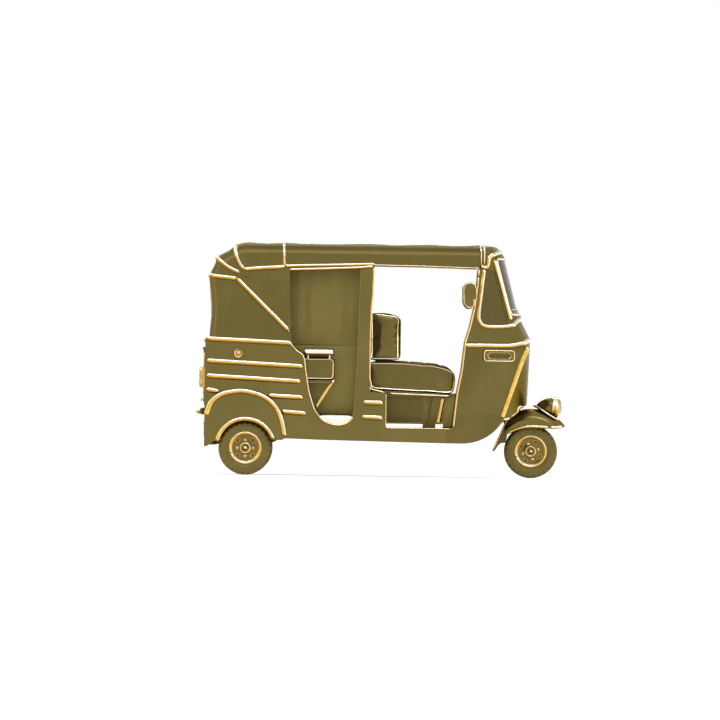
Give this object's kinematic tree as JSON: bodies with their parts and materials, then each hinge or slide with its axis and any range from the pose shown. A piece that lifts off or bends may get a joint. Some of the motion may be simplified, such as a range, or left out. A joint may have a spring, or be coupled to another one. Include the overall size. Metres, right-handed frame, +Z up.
{
  "type": "auto rickshaw",
  "caption": "Three-wheeled auto rickshaw with a steered front wheel, open driver's cab, rear passenger bench and a fabric hood over tube bows.",
  "frame": {"origin": "on the ground, under the middle of the overall length and width", "axes": "+X forward, +Y to the vehicle's left, +Z up"},
  "size_m": [2.6278, 1.45, 1.655],
  "materials": {
    "body_paint": "metallic olive gold paint",
    "bright_gold": "polished gold plate",
    "canopy": "coated canvas",
    "seat_cover": "vinyl",
    "tyre": "moulded rubber",
    "rubber": "moulded rubber",
    "glass": "bronze tinted",
    "frame_steel": "satin paint",
    "engine_metal": "cast",
    "lamp_glass": "amber tinted"
  },
  "bodies": {
    "body": {"belly_pan": "frame_steel", "body_side_left": "body_paint", "body_side_right": "body_paint", "chassis_frame": "frame_steel", "cowl_left": "body_paint", "cowl_right": "body_paint", "dashboard": "frame_steel", "drive_shafts": "frame_steel", "driver_backrest": "seat_cover", "driver_cushion": "seat_cover", "driver_seat_frame": "frame_steel", "engine_block": "engine_metal", "engine_bulkhead": "frame_steel", "filler_cap": "bright_gold", "floor_pan": "frame_steel", "hood_canopy": "canopy", "hood_frame": "frame_steel", "hood_stays": "bright_gold", "mirrors": "body_paint", "nose_panel": "body_paint", "number_plate": "body_paint", "partition": "body_paint", "passenger_backrest": "seat_cover", "passenger_cushion": "seat_cover", "quarter_glass": "glass", "rear_arms": "frame_steel", "rear_bumper": "bright_gold", "rear_fenders": "body_paint", "rear_panel": "body_paint", "rear_quarter_left": "body_paint", "rear_quarter_right": "body_paint", "rear_springs": "frame_steel", "side_curtain": "canopy", "side_vents": "bright_gold", "steering_head": "frame_steel", "tail_lamps": "lamp_glass", "windscreen_frame": "body_paint", "windscreen_glass": "glass"},
    "steering": {"steering_column": "bright_gold", "front_fork": "frame_steel", "front_damper": "frame_steel", "front_mudguard": "body_paint", "headlamp": "bright_gold", "mud_flap": "rubber"},
    "front_wheel": {"front_tyre": "tyre", "front_rim": "body_paint"},
    "rear_wheel_right": {"rear_tyre_right": "tyre", "rear_rim_right": "body_paint"},
    "rear_wheel_left": {"rear_tyre_left": "tyre", "rear_rim_left": "body_paint"},
    "engine_lid": {"engine_lid": "body_paint"}
  },
  "joints": [
    {"name": "steering", "type": "hinge", "parent": "body", "child": "steering", "pos_m": [0.999, 0, 0.48], "axis": [-0.3297, 0, 0.9441], "range_deg": [-38, 38]},
    {"name": "front_wheel_spin", "type": "hinge", "parent": "steering", "child": "front_wheel", "pos_m": [1.075, 0, 0.19], "axis": [0, 1, 0], "continuous": true},
    {"name": "rear_wheel_right_spin", "type": "hinge", "parent": "body", "child": "rear_wheel_right", "pos_m": [-0.957, -0.575, 0.19], "axis": [0, 1, 0], "continuous": true},
    {"name": "rear_wheel_left_spin", "type": "hinge", "parent": "body", "child": "rear_wheel_left", "pos_m": [-0.957, 0.575, 0.19], "axis": [0, 1, 0], "continuous": true},
    {"name": "engine_lid_hinge", "type": "hinge", "parent": "body", "child": "engine_lid", "pos_m": [-1.262, 0, 0.895], "axis": [0, 1, 0], "range_deg": [0, 80]}
  ]
}
